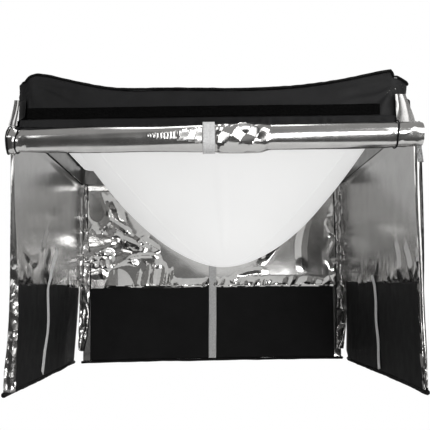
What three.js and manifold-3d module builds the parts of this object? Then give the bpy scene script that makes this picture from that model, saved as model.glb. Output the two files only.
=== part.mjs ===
// Overhead lantern softbox with light skirts, for hanging from a boom arm.
// A square black cover is stretched over four spring rods that plug into a central ring.
// A white diffuser bowl hangs inside its rim, and four silver-lined skirts hang round it.
// The front skirt is rolled up. Millimetres, +Z up, the open front faces -Y.
// The heights below are counted from the skirts' hems, and the finished group is moved
// down so that the origin is the middle of the stud's end face.
import * as THREE from "three";
import { mergeVertices } from "three/addons/utils/BufferGeometryUtils.js";
import Module from "manifold-3d";

// ---- driving dimensions ----
const HALF = 450; // header band: half its width and half its depth, outside
const CORNER = 30; // plan radius of the header's corners
const HEADER_Z = 600; // header's lower edge
const RIM_MID_Z = 685; // top edge halfway along a side, where the cloth sags
const RIM_EAR_Z = 720; // top edge beside a corner, where a rod pushes it up
const CLOTH = 2; // thickness of a cloth panel
const GAP = 0.3; // room between pieces that touch
const STUD_TOP = 806; // end of the stud above the hems
const HINGE_Z = 608; // line that the hanging skirts swing about
const BOWL_Z = 295; // lowest point of the diffuser
const BOWL_HALF = 420; // half width of the diffuser where its border begins
const BOWL_DEPTH = 335; // height of the bowl below that border
const BOWL_RIM_Z = 652; // diffuser's edge inside the header
const BAND_TOP = 242; // top of the black band inside each skirt
const STRAP_W = 27; // width of a tie strap
const ROLL_R = 28.5; // radius of the rolled front skirt
const ROLL_Y = -487; // axis of the roll
const ROLL_Z = 566.5;
const ROLL_FROM = -457; // its left end
const ROLL_TO = 454; // its right end
const ROLL_HINGE_Z = 597.3; // line that the rolled skirt swings about
const ROD_R = 3; // radius of a spring rod

const wasm = await Module();
wasm.setup();

// ---- materials ----
const paint = (color, roughness, metalness) =>
  new THREE.MeshStandardMaterial({ color, roughness, metalness });
const blackCloth = paint(0x1c1c1c, 0.85, 0);
const hookStrip = paint(0x0e0e0e, 0.95, 0);
const silverFoil = paint(0xb4b2ae, 0.2, 1);
const whiteCloth = paint(0xeeeeec, 0.7, 0);
const webbing = paint(0xb9b9b9, 0.75, 0);
const aluminium = paint(0xb8bac0, 0.4, 1);
const steel = paint(0x9a9a9a, 0.35, 1);
const blackPlastic = paint(0x202020, 0.5, 0);

// ---- geometry helpers ----
const lerp = THREE.MathUtils.lerp;
const point = (x, y, z) => new THREE.Vector3(x, y, z);

// A closed body between two grids of points, outside(u, v) and inside(u, v), with u and v from 0 to 1.
// With loop set, u runs all the way round and its two ends are joined.
function between(outside, inside, nu, nv, loop = false) {
  const columns = loop ? nu : nu + 1;
  const xyz = [];
  const index = [];
  for (const side of [outside, inside])
    for (let i = 0; i < columns; i++)
      for (let j = 0; j <= nv; j++) xyz.push(...side(i / nu, j / nv).toArray());
  const at = (side, i, j) => side * columns * (nv + 1) + (i % columns) * (nv + 1) + j;
  const quad = (a, b, c, d) => index.push(a, b, c, a, c, d);
  for (let i = 0; i < nu; i++) {
    for (let j = 0; j < nv; j++) {
      quad(at(0, i, j), at(0, i + 1, j), at(0, i + 1, j + 1), at(0, i, j + 1));
      quad(at(1, i, j), at(1, i, j + 1), at(1, i + 1, j + 1), at(1, i + 1, j));
    }
    quad(at(0, i, 0), at(1, i, 0), at(1, i + 1, 0), at(0, i + 1, 0));
    quad(at(0, i, nv), at(0, i + 1, nv), at(1, i + 1, nv), at(1, i, nv));
  }
  for (let j = 0; j < nv && !loop; j++) {
    quad(at(0, 0, j), at(0, 0, j + 1), at(1, 0, j + 1), at(1, 0, j));
    quad(at(0, nu, j), at(1, nu, j), at(1, nu, j + 1), at(0, nu, j + 1));
  }
  return facingOut(indexed(xyz, index));
}

function indexed(xyz, index) {
  const geometry = new THREE.BufferGeometry();
  geometry.setAttribute("position", new THREE.Float32BufferAttribute(xyz, 3));
  geometry.setIndex(index);
  return geometry;
}

// The same geometry, turned inside out if its faces point inwards.
function facingOut(geometry) {
  const p = geometry.getAttribute("position");
  const index = [...geometry.index.array];
  const [a, b, c] = [point(0, 0, 0), point(0, 0, 0), point(0, 0, 0)];
  let volume = 0;
  for (let i = 0; i < index.length; i += 3) {
    a.fromBufferAttribute(p, index[i]);
    b.fromBufferAttribute(p, index[i + 1]);
    c.fromBufferAttribute(p, index[i + 2]);
    volume += a.dot(b.cross(c));
  }
  if (volume < 0) index.reverse();
  geometry.setIndex(index);
  geometry.computeVertexNormals();
  return geometry;
}

// A box given by its lowest and highest corners.
function block(x0, x1, y0, y1, z0, z1) {
  const geometry = new THREE.BoxGeometry(x1 - x0, y1 - y0, z1 - z0);
  return geometry.translate((x0 + x1) / 2, (y0 + y1) / 2, (z0 + z1) / 2);
}

// A turned body about +Z from [radius, height] pairs that start and end on the axis, or close on
// themselves.
function turned(profile, segments = 32) {
  const points = profile.map(([r, z]) => new THREE.Vector2(r, z));
  return new THREE.LatheGeometry(points, segments).rotateX(Math.PI / 2);
}

// The profile of a square-edged ring.
const ringProfile = (r0, r1, z0, z1) => [[r0, z0], [r1, z0], [r1, z1], [r0, z1], [r0, z0]];

function toSolid(geometry) {
  const bare = geometry.clone();
  bare.deleteAttribute("normal");
  bare.deleteAttribute("uv");
  const merged = mergeVertices(bare, 1e-3);
  return new wasm.Manifold(
    new wasm.Mesh({
      numProp: 3,
      vertProperties: merged.getAttribute("position").array,
      triVerts: new Uint32Array(merged.index.array),
    }),
  );
}

// geometry with each of the cutters taken out of it.
function cut(geometry, ...cutters) {
  const left = cutters.reduce((body, cutter) => body.subtract(toSolid(cutter)), toSolid(geometry));
  const mesh = left.getMesh();
  return indexed(mesh.vertProperties, [...mesh.triVerts]);
}

const lantern = new THREE.Group();
function add(name, geometry, material) {
  const mesh = new THREE.Mesh(geometry, material);
  mesh.name = name;
  lantern.add(mesh);
  return mesh;
}

// ---- the rim's outline ----
const SIDE_STEPS = 12; // straight steps along a side
const ARC_STEPS = 2; // steps in half a corner
const QUARTER = SIDE_STEPS + 2 * ARC_STEPS;

// The plan point at share u of one side, from the middle of its first corner to the middle of
// its last, offset by grow from the header's outer face. Side 0 is the front, 1 the right,
// 2 the back and 3 the left.
function rim(side, u, grow = 0) {
  const half = HALF + grow;
  const radius = CORNER + grow;
  const step = THREE.MathUtils.clamp(u, 0, 1) * QUARTER;
  const centre = HALF - CORNER;
  let x, y;
  if (step < ARC_STEPS) {
    const turn = (1 - step / ARC_STEPS) * (Math.PI / 4);
    [x, y] = [-centre - radius * Math.sin(turn), -centre - radius * Math.cos(turn)];
  } else if (step > QUARTER - ARC_STEPS) {
    const turn = ((step - QUARTER + ARC_STEPS) / ARC_STEPS) * (Math.PI / 4);
    [x, y] = [centre + radius * Math.sin(turn), -centre - radius * Math.cos(turn)];
  } else {
    [x, y] = [lerp(-centre, centre, (step - ARC_STEPS) / SIDE_STEPS), -half];
  }
  const spin = (side * Math.PI) / 2;
  return new THREE.Vector2(x, y).rotateAround(new THREE.Vector2(), spin);
}

// Height of the top edge over a plan point: level in the middle of a side, rising to an ear
// beside each corner and a little lower on the corner itself.
const SAG_HALF = 120;
const EAR_AT = 400;
const EAR_DROP = 14;
function rimTop(plan) {
  const along = Math.min(Math.abs(plan.x), Math.abs(plan.y));
  if (along <= SAG_HALF) return RIM_MID_Z;
  if (along >= EAR_AT) return RIM_EAR_Z - (EAR_DROP * (along - EAR_AT)) / (HALF - EAR_AT);
  return RIM_MID_Z + (RIM_EAR_Z - RIM_MID_Z) * ((along - SAG_HALF) / (EAR_AT - SAG_HALF)) ** 1.4;
}

const SIDES = ["front", "right", "back", "left"];
const CORNERS = ["front_left", "front_right", "back_right", "back_left"];

// ---- centre: stud, bracket and rings ----
const RING_IN = 76; // bore that the lamp goes into
const NECK_R = 84; // outside of the core ring's tube, inside of the rod ring
const LIP_R = 98;
const ROD_RING_R = 106;
const CORE_Z = 724;
const LIP = 4; // thickness of the core ring's lip and of the retainer
const RING_Z = CORE_Z + LIP + 1; // rod ring's lower face
const RING_H = 20;
const RETAINER_Z = RING_Z + RING_H + 0.6;
const BAR_Z = RETAINER_Z + LIP + GAP;
const BAR_H = 5;
const BAR_HALF_W = 15;
const SCREW_AT = 87;
const SCREW_R = 2.5;
const KNOB_AT = 91;
const KNOB_SCREW_R = 3;
const KNOB_R = 11;
const KNOB_H = 14;

function coreRing() {
  const top = RETAINER_Z - GAP;
  const profile = [
    [RING_IN, CORE_Z],
    [LIP_R, CORE_Z],
    [LIP_R, CORE_Z + LIP],
    [NECK_R - 0.5, CORE_Z + LIP],
    [NECK_R - 0.5, top],
    [RING_IN, top],
    [RING_IN, CORE_Z],
  ];
  add("core_ring", turned(profile, 48), aluminium);
}

// A cutter for a round hole through a plate.
function drill(radius, z, thickness) {
  const [below, above] = [z - 2, z + thickness + 2];
  return turned([[0, below], [radius, below], [radius, above], [0, above]], 16);
}

// Retainer over the rod ring, with a hole for each lock knob's screw.
function retainer() {
  const plate = turned(ringProfile(RING_IN, LIP_R, RETAINER_Z, RETAINER_Z + LIP), 48);
  const hole = drill(KNOB_SCREW_R + 0.5, RETAINER_Z, LIP);
  const holes = [-1, 1].map((side) => hole.clone().translate(side * KNOB_AT, 0, 0));
  add("retainer_ring", cut(plate, ...holes), aluminium);
}

// Bar across the ring that carries the stud, held down by two screws.
function studBracket() {
  const bar = block(-BAR_HALF_W, BAR_HALF_W, -LIP_R, LIP_R, BAR_Z, BAR_Z + BAR_H);
  const hole = drill(SCREW_R + 0.4, BAR_Z, BAR_H);
  const holes = [-1, 1].map((side) => hole.clone().translate(0, side * SCREW_AT, 0));
  add("stud_bracket", cut(bar, ...holes), aluminium);
  const head = BAR_Z + BAR_H + GAP;
  const headR = 2 * SCREW_R;
  const profile = [
    [0, BAR_Z],
    [SCREW_R, BAR_Z],
    [SCREW_R, head],
    [headR, head],
    [headR, head + 3.5],
    [0, head + 4],
  ];
  for (const [name, side] of [["front", -1], ["back", 1]])
    add("bracket_screw_" + name, turned(profile, 16).translate(0, side * SCREW_AT, 0), steel);
}

function stud() {
  const foot = BAR_Z + BAR_H + GAP;
  const profile = [
    [0, foot],
    [17, foot],
    [17, foot + 5],
    [8, foot + 8],
    [8, foot + 14],
    [6.5, foot + 16],
    [6.5, foot + 24],
    [8, foot + 26],
    [8, STUD_TOP - 1.5],
    [6.5, STUD_TOP],
    [0, STUD_TOP],
  ];
  add("stud", turned(profile, 24), steel);
}

// A screw with a lobed head that presses on the rod ring and locks its turn.
function lockKnobs() {
  const head = BAR_Z + BAR_H + 3;
  const top = head + KNOB_H;
  const profile = [
    [0, RETAINER_Z],
    [KNOB_SCREW_R, RETAINER_Z],
    [KNOB_SCREW_R, head],
    [KNOB_R, head],
    [KNOB_R, top - 2],
    [KNOB_R - 2, top],
    [0, top],
  ];
  for (const [name, side] of [["left", -1], ["right", 1]])
    add("lock_knob_" + name, turned(profile, 12).translate(side * KNOB_AT, 0, 0), blackPlastic);
}

// ---- rods and what holds them ----
const SOCKET_LENGTH = 34;
const SOCKET_R = 8;
const SOCKET_BORE = 3.4;
const POCKET_LENGTH = 40;
const POCKET_R = 10;
// A rod's bent line over a diagonal, as [distance from the middle, height].
const ROD_LINE = [[116.2, 739], [350, 728], [578, 694]];

// A cup with a blind bore, whose axis is +Z and whose closed end is at 0.
function cup(radius, length, wall) {
  const profile = [
    [0, 0],
    [radius, 0],
    [radius, length],
    [SOCKET_BORE, length],
    [SOCKET_BORE, wall],
    [0, wall],
  ];
  return turned(profile, 16);
}

function rodSet(corner, index) {
  const heading = -0.75 * Math.PI + (index * Math.PI) / 2;
  const out = ([reach, z]) => point(reach * Math.cos(heading), reach * Math.sin(heading), z);
  const base = 9; // wall at the closed end of a socket or pocket
  const path = new THREE.QuadraticBezierCurve3(...ROD_LINE.map(out));
  const section = new THREE.Shape().absarc(0, 0, ROD_R, 0, 2 * Math.PI);
  const rod = new THREE.ExtrudeGeometry(section, { steps: 8, extrudePath: path, curveSegments: 5 });
  add("rod_" + corner, rod, steel);
  const facing = (mesh, t, turnedBack) => {
    const direction = path.getTangentAt(t).multiplyScalar(turnedBack ? -1 : 1);
    mesh.quaternion.setFromUnitVectors(point(0, 0, 1), direction);
    mesh.position.copy(path.getPointAt(t)).addScaledVector(direction, -base - GAP);
  };
  facing(add("rod_socket_" + corner, cup(SOCKET_R, SOCKET_LENGTH, base), aluminium), 0, false);
  facing(add("corner_pocket_" + corner, cup(POCKET_R, POCKET_LENGTH, base), blackPlastic), 1, true);
}

function rodRing() {
  const profile = ringProfile(NECK_R + 0.2, ROD_RING_R, RING_Z, RING_Z + RING_H);
  add("rod_ring", turned(profile, 48), aluminium);
}

// ---- cover: roof panels, header band, edge binding and hook strips ----
const SEAM = 0.002; // share of a panel's width left open along each seam
const HOLE_R = 101; // hole in the roof round the rings
const HOLE_Z = 757;
const ROOF_SAG = 5;

function roofPanel(name, side) {
  const top = (u, v) => {
    const share = lerp(SEAM, 1 - SEAM, u);
    const angle = -0.75 * Math.PI + (side + share) * (Math.PI / 2);
    const plan = rim(side, share, -1);
    const sag = ROOF_SAG * Math.sin(Math.PI * v) * Math.sin(Math.PI * share);
    const x = lerp(HOLE_R * Math.cos(angle), plan.x, v);
    const y = lerp(HOLE_R * Math.sin(angle), plan.y, v);
    return point(x, y, lerp(HOLE_Z, rimTop(plan) - 1, v) - sag);
  };
  const under = (u, v) => top(u, v).add(point(0, 0, -CLOTH));
  add("roof_panel_" + name, between(top, under, QUARTER, 4), blackCloth);
}

const allRound = (u, grow) => rim(Math.floor(u * 4) % 4, (u * 4) % 1, grow);

function headerBand() {
  const wall = (grow) => (u, v) => {
    const plan = allRound(u, grow);
    return point(plan.x, plan.y, lerp(HEADER_Z, rimTop(allRound(u, 0)) - 4, v));
  };
  add("header_band", between(wall(0), wall(-CLOTH), 4 * QUARTER, 1, true), blackCloth);
}

// Round binding that covers the seam between the roof and the header.
function edgeBinding() {
  const radius = 3;
  const steps = 4 * QUARTER;
  const sides = 6;
  const xyz = [];
  const index = [];
  const at = (i, j) => (i % steps) * sides + (j % sides);
  for (let i = 0; i < steps; i++) {
    const height = rimTop(allRound(i / steps, 0)) - 2;
    for (let j = 0; j < sides; j++) {
      const turn = (2 * Math.PI * j) / sides;
      const plan = allRound(i / steps, 0.4 + radius + radius * Math.cos(turn));
      xyz.push(plan.x, plan.y, height + radius * Math.sin(turn));
      index.push(at(i, j), at(i + 1, j), at(i + 1, j + 1));
      index.push(at(i, j), at(i + 1, j + 1), at(i, j + 1));
    }
  }
  add("edge_binding", facingOut(indexed(xyz, index)), blackCloth);
}

// Hook strip stitched to the outside of the header, one on each side.
const STRIP = 1.2;
const STRIP_Z0 = 615;
const STRIP_Z1 = 640;
function hookStrips() {
  const half = HALF - CORNER - 8;
  SIDES.forEach((name, side) => {
    const strip = block(-half, half, -HALF - GAP - STRIP, -HALF - GAP, STRIP_Z0, STRIP_Z1);
    add("hook_strip_" + name, strip, hookStrip).rotation.z = (side * Math.PI) / 2;
  });
}

// ---- diffuser ----
// One quarter of the bowl. Level sections are near circles at the bottom and squarer towards
// the rim, and above the bowl a border flares out to the inside of the header.
const BOWL_POWER = 1.85;
const BORDER_FROM = 11 / 12; // share of the panel's length that is bowl, the rest is border
const GORE_CLOTH = 1.4;
function gore(name, side) {
  const at = (u, v, lift) => {
    const share = lerp(SEAM, 1 - SEAM, u);
    const angle = -0.75 * Math.PI + (side + share) * (Math.PI / 2);
    const down = Math.min(v / BORDER_FROM, 1);
    const half = Math.max(BOWL_HALF * down, 4) - lift;
    const power = 2 + 3 * down ** 3;
    const [c, s] = [Math.cos(angle), Math.sin(angle)];
    const reach = half / (Math.abs(c) ** power + Math.abs(s) ** power) ** (1 / power);
    const bowl = point(reach * c, reach * s, BOWL_Z + BOWL_DEPTH * down ** BOWL_POWER + lift);
    if (v <= BORDER_FROM) return bowl;
    const plan = rim(side, share, -CLOTH - 1.5 - lift);
    const edge = point(plan.x, plan.y, BOWL_RIM_Z + lift);
    return bowl.lerp(edge, (v - BORDER_FROM) / (1 - BORDER_FROM));
  };
  const outside = (u, v) => at(u, v, 0);
  const inside = (u, v) => at(u, v, GORE_CLOTH);
  add("diffuser_gore_" + name, between(outside, inside, 8, 12), whiteCloth);
}

// ---- skirts ----
const SKIRT_X = HALF + 4.3; // middle of a skirt's cloth, and of the line it swings about
const HEM_R = 6;
const BORDER_Z0 = HINGE_Z + 2.5;
const BORDER_Z1 = 662;
const PANEL_TOP = HINGE_Z - 2.5;
const PANEL_Z = 2 * HEM_R + GAP;
const BAND = 1.2; // thickness of the inner band
const BAND_INSET = 24; // silver left bare at each end of the band
const STRAP = 1.2; // thickness of a strap
const STRAP_END = 20; // height of a strap's free end

// Fixed upper border of a side or back skirt, which sticks to the hook strip. It follows the
// rim's outline from share u0 of the side to share u1.
function border(name, side, u0, u1) {
  const wall = (grow) => (u, v) => {
    const plan = rim(side, lerp(u0, u1, u), grow);
    return point(plan.x, plan.y, lerp(BORDER_Z0, BORDER_Z1, v));
  };
  add(name, between(wall(5.3), wall(3.3), QUARTER, 1), blackCloth);
}

// A hanging skirt modelled as the front one, then turned to its side. from and to are its ends
// along the side. Its tie strap hangs at strapAt from a seam at the height strapTop.
function hangingSkirt(name, side, from, to, strapAt, strapTop) {
  const turn = (side * Math.PI) / 2;
  const put = (part, geometry, material) => {
    add(name + "_" + part, geometry, material).rotation.z = turn;
  };
  const inner = -SKIRT_X + CLOTH / 2;
  const band = inner + GAP;
  put("panel", block(from, to, -SKIRT_X - CLOTH / 2, inner, PANEL_Z, PANEL_TOP), silverFoil);
  const bandEnds = [from + BAND_INSET, to - BAND_INSET];
  put("band", block(...bandEnds, band, band + BAND, PANEL_Z + 1, BAND_TOP), blackCloth);
  const hem = new THREE.CylinderGeometry(HEM_R, HEM_R, to - from + 4, 12).rotateZ(Math.PI / 2);
  put("hem", hem.translate((from + to) / 2, -SKIRT_X, HEM_R * Math.cos(Math.PI / 12)), blackCloth);
  const strap = band + BAND + GAP;
  const strapEdges = [strapAt - STRAP_W / 2, strapAt + STRAP_W / 2];
  put("strap", block(...strapEdges, strap, strap + STRAP, STRAP_END, strapTop), webbing);
}

const SKIRT_FRONT = 452; // how far a side skirt reaches forwards
const SKIRT_END = 446; // how far a skirt reaches towards a back corner
const FLAP_IN = 440.5; // edge flap, inner and outer edge
const FLAP_OUT = 459;
const FLAP_Y = -HALF - 5.5;
const CLOSURE_IN = 424; // corner closure, inner and outer edge
const CLOSURE_OUT = 451;

// A thin upright piece between two distances from the middle, on the left (-1) or the right (1).
function upright(sign, inner, outer, y, thickness, z0, z1) {
  const [x0, x1] = sign > 0 ? [inner, outer] : [-outer, -inner];
  return block(x0, x1, y, y + thickness, z0, z1);
}

function sideSkirt(name, side, strap) {
  const sign = side === 1 ? 1 : -1;
  // In the turned frame a right skirt starts at the front edge, and a left skirt ends there.
  const [from, to] = sign > 0 ? [-SKIRT_FRONT, SKIRT_END] : [-SKIRT_END, SKIRT_FRONT];
  hangingSkirt(name + "_skirt", side, from, to, ...strap);
  const [u0, u1] = sign > 0 ? [0.05, 0.97] : [0.03, 0.95];
  border(name + "_skirt_border", side, u0, u1);
  const flap = upright(sign, FLAP_IN, FLAP_OUT, FLAP_Y, 1.5, 14, 604);
  add(name + "_edge_flap", flap, silverFoil);
  const closure = upright(sign, CLOSURE_IN, CLOSURE_OUT, 449.8, 1.4, 30, 596);
  add(name + "_corner_closure", closure, silverFoil);
}

function backSkirt() {
  hangingSkirt("back_skirt", 2, -SKIRT_END, SKIRT_END, 2, 345);
  border("back_skirt_border", 2, 0.08, 0.92);
}

// ---- rolled front skirt ----
const ROLL_STRAP_X = -32;
const TAB_X0 = 438;
const TAB_X1 = 453;
const TAB_LENGTH = 46;
function frontSkirt() {
  const half = HALF - 10;
  const face = -HALF - 1.8;
  const sheet = (z0, z1) => block(-half, half, face - 1.4, face, z0, z1);
  add("front_skirt_border", sheet(ROLL_HINGE_Z + 1, STRIP_Z0 - GAP), blackCloth);
  add("front_skirt_sheet", sheet(ROLL_Z, ROLL_HINGE_Z - 1), silverFoil);
  const length = ROLL_TO - ROLL_FROM;
  const profile = [
    [0, 0],
    [ROLL_R - 1.5, 0],
    [ROLL_R, 14],
    [ROLL_R - 4, 26],
    [ROLL_R, 130],
    [ROLL_R, length - 90],
    [ROLL_R - 1.5, length - 58],
    [ROLL_R - 2.5, length],
    [0, length],
  ];
  const laid = (geometry, x) => geometry.rotateY(Math.PI / 2).translate(x, ROLL_Y, ROLL_Z);
  add("front_skirt_roll", laid(turned(profile, 20), ROLL_FROM), silverFoil);
  const wrap = ringProfile(ROLL_R + 0.6, ROLL_R + 1.9, 0, STRAP_W);
  add("roll_strap", laid(turned(wrap, 20), ROLL_STRAP_X), webbing);
  const tabTop = ROLL_Z - ROLL_R - GAP;
  const tab = block(TAB_X0, TAB_X1, ROLL_Y - 3, ROLL_Y - 1.5, tabTop - TAB_LENGTH, tabTop);
  add("roll_end_tab", tab, webbing);
}

// ---- assembly ----
stud();
studBracket();
retainer();
coreRing();
lockKnobs();
rodRing();
CORNERS.forEach(rodSet);
SIDES.forEach(roofPanel);
headerBand();
edgeBinding();
hookStrips();
SIDES.forEach(gore);
sideSkirt("left", 3, [85, 345]);
sideSkirt("right", 1, [-20, 270]);
backSkirt();
frontSkirt();
lantern.position.z = -STUD_TOP;

export default lantern;
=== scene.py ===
"""The looks of an overhead lantern softbox: black cover, white bowl, and silver-lined drop skirts.

Everything is in metres in the CAD's frame, whose origin is the stud's end. Heights are given above the
skirts' hems, because that is how the cloth hangs, and up() turns them into the frame's z.
"""

import math

import bmesh
import bpy
import numpy as np
from mathutils import Matrix, Vector


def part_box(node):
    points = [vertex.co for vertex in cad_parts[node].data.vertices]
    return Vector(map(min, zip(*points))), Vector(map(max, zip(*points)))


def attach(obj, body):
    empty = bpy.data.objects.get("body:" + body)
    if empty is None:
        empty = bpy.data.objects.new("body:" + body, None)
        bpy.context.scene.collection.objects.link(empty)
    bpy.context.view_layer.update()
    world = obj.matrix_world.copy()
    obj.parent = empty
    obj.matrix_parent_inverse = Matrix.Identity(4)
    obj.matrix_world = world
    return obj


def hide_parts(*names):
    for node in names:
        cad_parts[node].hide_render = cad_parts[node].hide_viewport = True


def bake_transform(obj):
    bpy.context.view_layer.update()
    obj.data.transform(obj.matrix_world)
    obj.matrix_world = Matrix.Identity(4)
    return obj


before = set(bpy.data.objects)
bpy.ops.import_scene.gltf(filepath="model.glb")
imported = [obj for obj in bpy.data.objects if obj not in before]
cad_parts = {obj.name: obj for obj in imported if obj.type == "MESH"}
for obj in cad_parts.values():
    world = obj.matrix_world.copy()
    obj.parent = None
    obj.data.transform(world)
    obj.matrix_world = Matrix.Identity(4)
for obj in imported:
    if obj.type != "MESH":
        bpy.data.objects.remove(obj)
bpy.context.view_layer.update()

# ---- the frame's measures ----
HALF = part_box("header_band")[1].x  # outer face of the header
HEM_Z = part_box("back_skirt_hem")[0].z


def up(height):
    """The frame's z for a height above the hems."""
    return HEM_Z + height


def points(x, y, height):
    """Points of the frame from plan places and heights above the hems."""
    return np.stack(np.broadcast_arrays(x, y, up(height)), -1)


# ---- random fields ----
TILE = 64


def noise(x, y, seed):
    """A smooth random field from -1 to 1, whose features are about 1 across."""
    table = np.random.default_rng(seed).uniform(-1, 1, (TILE, TILE))
    x, y = np.broadcast_arrays(np.asarray(x, float), np.asarray(y, float))
    xi, yi = np.floor(x).astype(int), np.floor(y).astype(int)
    fx, fy = x - xi, y - yi
    fx, fy = fx * fx * (3 - 2 * fx), fy * fy * (3 - 2 * fy)

    def at(i, j):
        return table[(xi + i) % TILE, (yi + j) % TILE]

    low = at(0, 0) * (1 - fx) + at(1, 0) * fx
    high = at(0, 1) * (1 - fx) + at(1, 1) * fx
    return low * (1 - fy) + high * fy


def facets(x, y, seed):
    """Flat facets that meet in straight creases, in cells about 1 across. The slope is about 1."""
    rng = np.random.default_rng(seed)
    jx, jy, angle, lift = (rng.uniform(0, 1, (TILE, TILE)) for _ in range(4))
    xi, yi = np.floor(x).astype(int), np.floor(y).astype(int)
    best = np.full(np.shape(x), 9.0)
    for i in range(-2, 3):
        for j in range(-2, 3):
            cell = (xi + i) % TILE, (yi + j) % TILE
            dx, dy = x - (xi + i) - jx[cell], y - (yi + j) - jy[cell]
            turn = np.pi * angle[cell]
            p = np.abs(dx * np.cos(turn) + dy * np.sin(turn))
            q = np.abs(dy * np.cos(turn) - dx * np.sin(turn))
            far = np.maximum(np.maximum(p, 0.7 * q), 0.6 * (p + q))
            best = np.minimum(best, far + 0.35 * lift[cell])
    return best


def crumple(x, y, size, seed):
    """Height of crumpled foil, all in metres, with flat folds about size across and slopes near 1."""
    wx = x / size + 0.12 * noise(x / size, y / size, seed + 1)
    wy = y / size + 0.12 * noise(x / size, y / size, seed + 2)
    return size * (facets(wx, wy, seed + 3) - 0.14 * facets(wx * 2.1, wy * 2.1, seed + 4))


def creased(x, y, size, seed):
    """Height of foil with sharp crease lines between smooth patches about size across."""
    wx = x / size + 0.35 * noise(x / size, y / size, seed + 1)
    wy = y / size + 0.35 * noise(x / size, y / size, seed + 2)
    n = np.abs(noise(wx, wy, seed + 3))
    m = np.abs(noise(wx * 2.3, wy * 2.3, seed + 4))
    return size * (0.26 * (1 - n) + 0.030 * np.exp(-n / 0.12) + 0.030 * (1 - m))


def pleats(t, period, slope):
    """Height of straight pleats across t."""
    return slope * period * (0.5 - np.abs(np.mod(t / period, 1) - 0.5))


def ridge(x, h, a, b, width, bend=0.0):
    """A fold from point a to point b: 1 on its crease, 0 at its width, and faded at both ends."""
    (ax, ah), (bx, bh) = a, b
    long = math.hypot(bx - ax, bh - ah)
    ux, uh = (bx - ax) / long, (bh - ah) / long
    t = ((x - ax) * ux + (h - ah) * uh) / long
    off = (x - ax) * -uh + (h - ah) * ux - bend * long * np.sin(np.pi * np.clip(t, 0, 1))
    return np.clip(1 - np.abs(off) / width, 0, 1) * ramp(t, -0.05, 0.25) * ramp(t, 1.05, 0.7)


def ramp(x, low, high):
    """0 below low, 1 above high, and a smooth step between. It falls if low is above high."""
    t = np.clip((np.asarray(x, float) - low) / (high - low), 0, 1)
    return t * t * (3 - 2 * t)


def along(x, *knots):
    """A smooth curve through (x, value) knots, with x rising."""
    px, pv = np.array(knots, float).T
    x = np.asarray(x, float)
    i = np.clip(np.searchsorted(px, x) - 1, 0, len(px) - 2)
    slope = np.gradient(pv, px)
    h = px[i + 1] - px[i]
    t = np.clip((x - px[i]) / h, 0, 1)
    a = pv[i] * (2 * t**3 - 3 * t**2 + 1) + pv[i + 1] * (3 * t**2 - 2 * t**3)
    return a + h * (slope[i] * (t**3 - 2 * t**2 + t) + slope[i + 1] * (t**3 - t**2))


# ---- mesh builders ----
FOIL_CREASE = 9  # degrees
CLOTH, HEAVY_CLOTH, FILM, THIN_FILM = 0.0008, 0.0009, 0.0007, 0.0006  # thicknesses


def finished(name, verts, faces, materials, indices=None, clean=None, crease=None):
    """A smooth-shaded object, with a material for each face's index. clean edits its bmesh, and edges that
    turn by more than crease degrees stay sharp."""
    mesh = bpy.data.meshes.new(name)
    mesh.from_pydata(verts.tolist(), [], faces)
    for m in materials:
        mesh.materials.append(m)
    if indices is not None:
        mesh.polygons.foreach_set("material_index", indices)
    if clean:
        bm = bmesh.new()
        bm.from_mesh(mesh)
        clean(bm)
        bm.to_mesh(mesh)
        bm.free()
    mesh.shade_smooth()
    if crease:
        mesh.set_sharp_from_angle(angle=math.radians(crease))
    mesh.update()
    piece = bpy.data.objects.new(name, mesh)
    bpy.context.collection.objects.link(piece)
    return piece


def weld(bm):
    """Joins points that meet, and drops faces that have no area left."""
    bmesh.ops.remove_doubles(bm, verts=bm.verts, dist=1e-5)
    bmesh.ops.dissolve_degenerate(bm, dist=1e-6, edges=bm.edges)


def face_outwards(bm):
    bmesh.ops.recalc_face_normals(bm, faces=bm.faces)


def normals(middle, loop=False):
    """Unit normals of a grid of points, along the cross product of its first and second directions."""
    if loop:
        du = np.roll(middle, -1, 0) - np.roll(middle, 1, 0)
    else:
        du = np.gradient(middle, axis=0)
    n = np.cross(du, np.gradient(middle, axis=1))
    return n / np.maximum(np.linalg.norm(n, axis=2, keepdims=True), 1e-12)


def numbered(nu, nv):
    """The two numbers of each cell of a grid, in order."""
    return (a.ravel() for a in np.meshgrid(np.arange(nu), np.arange(nv), indexing="ij"))


def quads(nu, nv, loop):
    """The corner numbers of a grid's cells, with points numbered nv to a column."""
    i, j = numbered(nu if loop else nu - 1, nv - 1)
    k = (i + 1) % nu
    return np.stack([i * nv + j, k * nv + j, k * nv + j + 1, i * nv + j + 1], 1)


def shell(name, middle, thickness, front, back=None, loop=False, clean=None, crease=None):
    """A closed sheet of even thickness round a grid of points. front is on the side of its normals."""
    nu, nv, _ = middle.shape
    half = normals(middle, loop) * thickness / 2
    verts = np.concatenate([middle + half, middle - half]).reshape(-1, 3)
    top = quads(nu, nv, loop)
    faces = [top, top[:, ::-1] + nu * nv]

    def close(a, b):
        faces.append(np.stack([a, b, b + nu * nv, a + nu * nv], 1))

    column = np.arange(nu if loop else nu - 1) * nv
    after = (column + nv) % (nu * nv)
    close(after, column)
    close(column + nv - 1, after + nv - 1)
    if not loop:
        row = np.arange(nv - 1)
        last = row + (nu - 1) * nv
        close(row, row + 1)
        close(last + 1, last)
    faces = np.concatenate(faces)
    indices = np.zeros(len(faces), np.int32)
    if back:
        indices[len(top) : 2 * len(top)] = 1
    return finished(name, verts, faces.tolist(), [front, back] if back else [front], indices, clean, crease)


TIP_LENGTH, TIP_RADIUS = 0.5, 0.55  # of a tube's rounded end, as shares of its radius


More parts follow.
